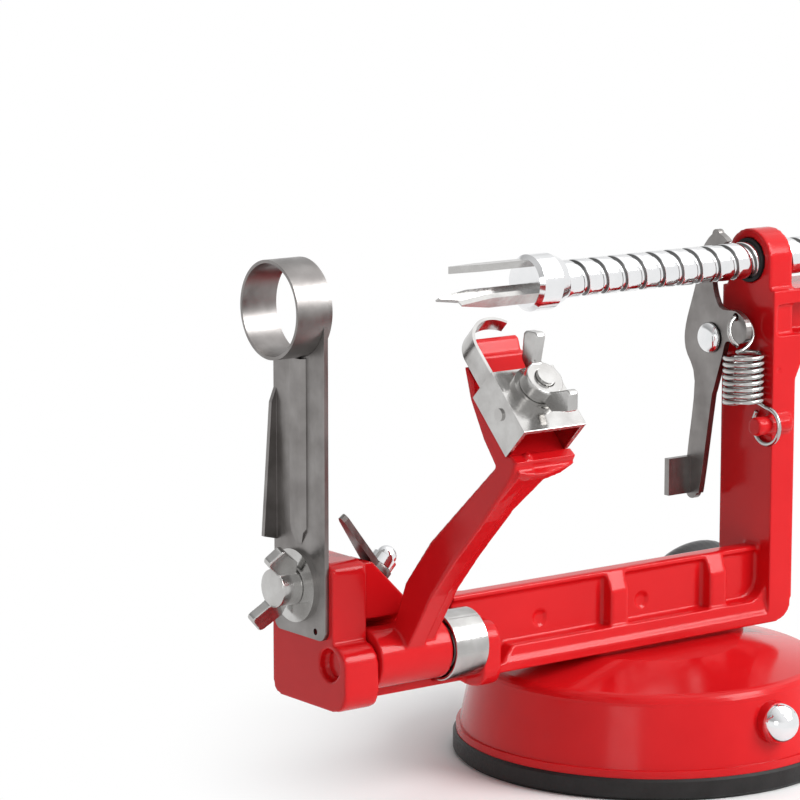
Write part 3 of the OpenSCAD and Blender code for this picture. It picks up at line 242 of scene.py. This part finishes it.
def smooth_path(points):
    """Points on a curve through the given ones."""
    p = [Vector(q) for q in points]
    out = []
    for i in range(len(p) - 1):
        a, b, c, d = p[max(i - 1, 0)], p[i], p[i + 1], p[min(i + 2, len(p) - 1)]
        for k in range(WIRE_STEPS):
            t = k / WIRE_STEPS
            out.append(0.5 * ((2 * b) + (c - a) * t + (2 * a - 5 * b + 4 * c - d) * t * t
                              + (3 * b - a - 3 * c + d) * t ** 3))
    return out + [p[-1]]


def wire(name, points, diameter, mat):
    """A round wire along a smooth path, closed at both ends."""
    path = smooth_path(points)
    verts = []
    side = Vector((0.31, 0.87, 0.38))
    for i, q in enumerate(path):
        along = (path[min(i + 1, len(path) - 1)] - path[max(i - 1, 0)]).normalized()
        side = (side - along * side.dot(along)).normalized()
        other = along.cross(side)
        verts += [q + diameter / 2 * (c * side + s * other) for c, s in circle(WIRE_SIDES)]
    faces = []
    for i in range(len(path) - 1):
        for k in range(WIRE_SIDES):
            a, b = i * WIRE_SIDES + k, i * WIRE_SIDES + (k + 1) % WIRE_SIDES
            faces.append((a, b, b + WIRE_SIDES, a + WIRE_SIDES))
    faces += [tuple(range(WIRE_SIDES)), tuple(range(len(verts) - WIRE_SIDES, len(verts)))]
    return mesh_object(name, verts, faces, mat)


def turned(name, profile, centre, mat):
    """A solid turned about a line along X; the profile's (x, radius) pairs begin and end on it."""
    y, z = centre
    points = [(profile[0][0], y, z), (profile[-1][0], y, z)]
    rings = profile[1:-1]
    for x, r in rings:
        points += [(x, y + r * c, z + r * s) for c, s in circle(TURNED_SIDES)]
    faces = []
    for k in range(TURNED_SIDES):
        column = [2 + k + TURNED_SIDES * i for i in range(len(rings))]
        beside = [2 + (k + 1) % TURNED_SIDES + TURNED_SIDES * i for i in range(len(rings))]
        faces += [(0, column[0], beside[0]), (1, beside[-1], column[-1])]
        faces += [(column[i], column[i + 1], beside[i + 1], beside[i])
                  for i in range(len(rings) - 1)]
    obj = mesh_object(name, points, faces, mat)
    obj.data.set_sharp_from_angle(angle=SHARP_ANGLE)
    return obj


def modifier(obj, kind, **values):
    m = obj.modifiers.new(kind.lower(), kind)
    for key, value in values.items():
        setattr(m, key, value)


def cast(name, voxel, passes):
    """Rounds a casting's edges: the node is remeshed finely and smoothed."""
    obj = nodes[name]
    modifier(obj, "WELD", merge_threshold=WELD_DISTANCE)
    modifier(obj, "REMESH", mode="VOXEL", voxel_size=voxel * MM, use_smooth_shade=True)
    modifier(obj, "SMOOTH", factor=0.5, iterations=passes)


def stamped(name, width):
    """Breaks the sharp edges of a stamped piece."""
    obj = nodes[name]
    modifier(obj, "WELD", merge_threshold=WELD_DISTANCE)
    modifier(obj, "DECIMATE", decimate_type="DISSOLVE", angle_limit=FLAT_ANGLE)
    modifier(obj, "BEVEL", width=width * MM, segments=2, limit_method="ANGLE",
             angle_limit=SHARP_ANGLE)
    modifier(obj, "WEIGHTED_NORMAL", keep_sharp=True)


# Finishes of the CAD nodes

SHEET_EDGE = 0.25

for part in frame["record"]["subparts"]:
    obj = nodes[part["node"]]
    obj.data.materials.clear()
    obj.data.materials.append(materials[part["material_slot"]])

cast("main_frame", 0.5, 4)
cast("peel_arm", 0.32, 6)
for name in ("slicer_wing_bolt", "bracket_wing_nut"):
    cast(name, 0.22, 5)
for name in ("blade_bracket", "feed_pawl", "arm_catch", "slicer_blade", "crank_arm",
             "suction_lever", "spring_sleeve"):
    stamped(name, SHEET_EDGE)


# Feed screw: rounded lands and a narrow groove; its walls get a dark colour as painted shade, and
# the groove floor stays chrome

AXIS_Z = 127.0
PITCH = 6.35
ROD_R = 4.85
EDGE_R = ROD_R - 0.06
LIP_R = ROD_R - 0.20
GROOVE_R = ROD_R - 0.9
TOOTH_X = 28.5
TURNS_BEFORE_TOOTH = 10
TURNS = 29
TURN_STEPS = 64

# One pitch of the outline, as (x, radius)
LAND = [(0.90, LIP_R), (1.00, EDGE_R), (1.18, ROD_R), (2.4, ROD_R),
        (3.95, ROD_R), (5.17, ROD_R), (5.35, EDGE_R), (5.45, LIP_R)]
GROOVE = [(5.80, GROOVE_R), (6.35, GROOVE_R), (6.90, GROOVE_R)]


def feed_screw():
    """The outline is wound along the axis; its groove's far end joins the land one turn on."""
    start = TOOTH_X - PITCH * TURNS_BEFORE_TOOTH
    shape = LAND + GROOVE
    count = len(shape)
    rows = TURNS * TURN_STEPS
    points = []
    for i in range(rows + 1):
        a = FULL_TURN * i / TURN_STEPS
        along = start + PITCH * i / TURN_STEPS
        points += [(along + x, r * math.cos(a), AXIS_Z + r * math.sin(a)) for x, r in shape]
    near_centre, far_centre = len(points), len(points) + 1
    points += [(start + PITCH / 2, 0, AXIS_Z), (start + PITCH * (TURNS + 0.5), 0, AXIS_Z)]

    faces, dark = [], []
    for i in range(rows):
        for j in range(count - 1):
            a, b = count * i + j, count * (i + 1) + j
            faces.append((a, a + 1, b + 1, b))
            dark.append(j == len(LAND) - 1)
    for i in range(rows - TURN_STEPS):
        a, b = count * i + count - 1, count * (i + TURN_STEPS)
        faces.append((a, b, b + count, a + count))
        dark.append(True)
    near_rim = [count * i for i in range(TURN_STEPS + 1)] + list(range(count - 1, 0, -1))
    far_rim = [count * i + count - 1 for i in range(rows - TURN_STEPS, rows + 1)]
    far_rim += [count * rows + j for j in range(count - 2, -1, -1)]
    for rim, centre in ((near_rim, near_centre), (far_rim, far_centre)):
        faces += [(rim[k], rim[(k + 1) % len(rim)], centre) for k in range(len(rim))]

    obj = mesh_object("screw_thread", points, faces,
                      materials["bright_chrome"], materials["painted_groove_shade"])
    # the groove walls take the dark steel as painted shade
    for face, is_dark in zip(obj.data.polygons, dark):
        face.material_index = int(is_dark)
    return obj


thread = feed_screw()
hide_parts("feed_screw")
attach(thread, "shaft")


# Pawl's pivot pin: a rounded head on a plain shank, as (x, radius)

PIN_CENTRE = (7.6, 106)
PIN_HEAD = [(25.4, 0), (25.4, 1.5), (25.5, 2.3), (25.75, 3.0),
            (26.1, 3.55), (26.5, 3.95), (26.8, 4.1), (27.2, 4.1)]
PIN_SHANK = [(27.2, 2.5), (40, 2.5), (40, 0)]

pin = turned("pivot_pin", PIN_HEAD + PIN_SHANK, PIN_CENTRE, materials["bright_chrome"])
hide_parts("pawl_pin")
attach(pin, "stand")


# Springs

FEED_WIRE_D = 1.25
ARM_WIRE_D = 1.5
COIL_STEPS = 16             # points in one turn of a coil
COIL_ANGLE = 360 / COIL_STEPS


def pawl_spring():
    """A ring through the pawl's ear, close coils, and a loop round the peg on the upright."""
    ear_x, ear_y, ear_z, ring_r = 28.5, -2.2, 112.6, 4.1
    coil_x, coil_y, coil_top = 28.1, -5.1, 103.0
    coil_r, coil_pitch, coil_turns = 5.0, 1.65, 8
    lead_steps, lead_rise = 5, 0.9
    loop_y, loop_z, loop_r, loop_end = -8.7, 88.8, 4.9, 300
    tail_length = 1.1
    lean = math.atan2(ear_y - coil_y, ear_z - coil_top)

    def ring(angle):
        c, s = polar(angle)
        down = ring_r + ring_r * s
        return (ear_x + ring_r * c, ear_y - down * math.sin(lean), ear_z - down * math.cos(lean))

    def coil(angle, r, z):
        c, s = polar(angle)
        return (coil_x + r * c, coil_y - r * s, z)

    def lead(step):
        share = step / lead_steps
        return coil(180 + 180 * share, coil_r * share, coil_top + lead_rise * (1 - share))

    def loop(angle):
        c, s = polar(angle)
        return Vector((coil_x + coil_r, loop_y - loop_r * s, loop_z - loop_r * (1 - c)))

    path = [ring(angle) for angle in range(120, 421, 30)]
    path += [lead(step) for step in range(1, lead_steps + 1)]
    path += [coil(COIL_ANGLE * i, coil_r, coil_top - coil_pitch * i / COIL_STEPS)
             for i in range(1, COIL_STEPS * coil_turns + 1)]
    path += [loop(angle) for angle in range(0, loop_end + 1, 20)]
    tail = (loop(loop_end + 1) - loop(loop_end)).normalized()
    return path + [loop(loop_end) + tail * tail_length]


def arm_spring():
    """Coils about the arm's pivot, with a short leg at each end."""
    y, z = -11.5, 41.3
    start_x, length, coil_r, leg = -77.95, 7.3, 5.5, 1.5
    steps = 56
    path = [(start_x, y + coil_r, z - leg)]
    for i in range(steps + 1):
        c, s = polar(COIL_ANGLE * i)
        path.append((start_x + length * i / steps, y + coil_r * c, z + coil_r * s))
    return path + [(start_x + length, y - coil_r, z - leg)]


spring = wire("feed_spring", pawl_spring(), FEED_WIRE_D, materials["zinc_plate"])
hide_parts("pawl_spring")
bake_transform(spring)

torsion = wire("return_spring", arm_spring(), ARM_WIRE_D, materials["plain_steel"])
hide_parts("arm_spring")
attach(torsion, "stand")


# Floor, world and lights; lengths in metres

WHITE = (1, 1, 1, 1)
FLOOR_SIZE = 40
FLOOR_GREYS = [(0.90, 0.90, 0.90), (0.92, 0.92, 0.92)]
FLOOR_ROUGHNESS = 0.8
SHADOW_REACH = (0.05, 0.13)             # the paper fades to white between these distances
SKY_LIGHT = (0.6, 1)                    # strength for the rays that light, and for those that show
BRIGHT_SIDE = Vector((0.62, -0.42, 0.66)).normalized()
SKY_STOPS = [(0.1, (0.22, 0.22, 0.22)), (0.5, (0.55, 0.55, 0.55)), (0.8, (1, 1, 1))]
BACKDROP_HEIGHT = (0.4, 0.2)            # the white backdrop comes in between these heights


def seen_rays(tree):
    """1 for the rays that show the background: from the camera, mirrored or let through."""
    path = tree.nodes.new("ShaderNodeLightPath")
    seen = path.outputs["Is Camera Ray"]
    for kind in ("Is Glossy Ray", "Is Transmission Ray"):
        seen = math_node(tree, "MAXIMUM", seen, path.outputs[kind])
    return seen


def floor_material():
    """White paper that takes the object's shadow, and plain white further out."""
    m, tree, shader = new_material("floor_paper")
    paper = ramp(tree, noise(tree, 3.0), list(zip(NOISE_SPAN, FLOOR_GREYS)))
    tree.links.new(paper, shader.inputs["Base Color"])
    shader.inputs["Roughness"].default_value = FLOOR_ROUGHNESS
    where = tree.nodes.new("ShaderNodeNewGeometry")
    reach = tree.nodes.new("ShaderNodeVectorMath")
    reach.operation = "LENGTH"
    tree.links.new(where.outputs["Position"], reach.inputs[0])
    fade = map_range(tree, reach.outputs["Value"], SHADOW_REACH, UNIT, "SMOOTHSTEP")
    white = tree.nodes.new("ShaderNodeEmission")
    mix = tree.nodes.new("ShaderNodeMixShader")
    tree.links.new(math_node(tree, "MULTIPLY", seen_rays(tree), fade), mix.inputs["Fac"])
    tree.links.new(shader.outputs["BSDF"], mix.inputs[1])
    tree.links.new(white.outputs["Emission"], mix.inputs[2])
    tree.links.new(mix.outputs["Shader"], tree.nodes["Material Output"].inputs["Surface"])
    return m


def studio_world():
    """Brighter to the right and above, darker on the left, with a white backdrop low all round."""
    world = bpy.data.worlds.new("studio")
    scene.world = world
    world.use_nodes = True
    tree = world.node_tree
    sky = tree.nodes["Background"]
    seen = seen_rays(tree)
    tree.links.new(map_range(tree, seen, UNIT, SKY_LIGHT), sky.inputs["Strength"])

    place = tree.nodes.new("ShaderNodeTexCoord")
    toward = tree.nodes.new("ShaderNodeVectorMath")
    toward.operation = "DOT_PRODUCT"
    toward.inputs[1].default_value = BRIGHT_SIDE
    tree.links.new(place.outputs["Generated"], toward.inputs[0])
    light = ramp(tree, map_range(tree, toward.outputs["Value"], (-1, 1), UNIT), SKY_STOPS)

    axes = tree.nodes.new("ShaderNodeSeparateXYZ")
    tree.links.new(place.outputs["Generated"], axes.inputs["Vector"])
    low = map_range(tree, axes.outputs["Z"], BACKDROP_HEIGHT, UNIT, "SMOOTHSTEP")
    backdrop = tree.nodes.new("ShaderNodeMix")
    backdrop.data_type = "RGBA"
    tree.links.new(math_node(tree, "MULTIPLY", seen, low), backdrop.inputs["Factor"])
    tree.links.new(light, colour_socket(backdrop.inputs, "A"))
    colour_socket(backdrop.inputs, "B").default_value = WHITE
    tree.links.new(colour_socket(backdrop.outputs, "Result"), sky.inputs["Color"])


def lamp(name, place, aim, size, watts):
    data = bpy.data.lights.new(name, "AREA")
    data.shape = "SQUARE"
    data.size = size
    data.energy = watts
    obj = bpy.data.objects.new(name, data)
    obj.location = place
    obj.rotation_euler = (Vector(aim) - Vector(place)).to_track_quat("-Z", "Y").to_euler()
    bpy.context.collection.objects.link(obj)


bpy.ops.mesh.primitive_plane_add(size=FLOOR_SIZE)
floor = bpy.context.object
floor.name = "floor"
floor.data.materials.append(floor_material())
studio_world()
lamp("key", place=(0.75, -1.15, 1.0), aim=(0, 0, 0.08), size=0.9, watts=23)
lamp("window", place=(-1.0, -0.72, 0.30), aim=(0, 0, 0.05), size=0.4, watts=0.9)
lamp("top", place=(0.62, -0.24, 1.15), aim=(-0.05, -0.04, 0.1), size=1.4, watts=4)

scene.view_settings.view_transform = "Standard"
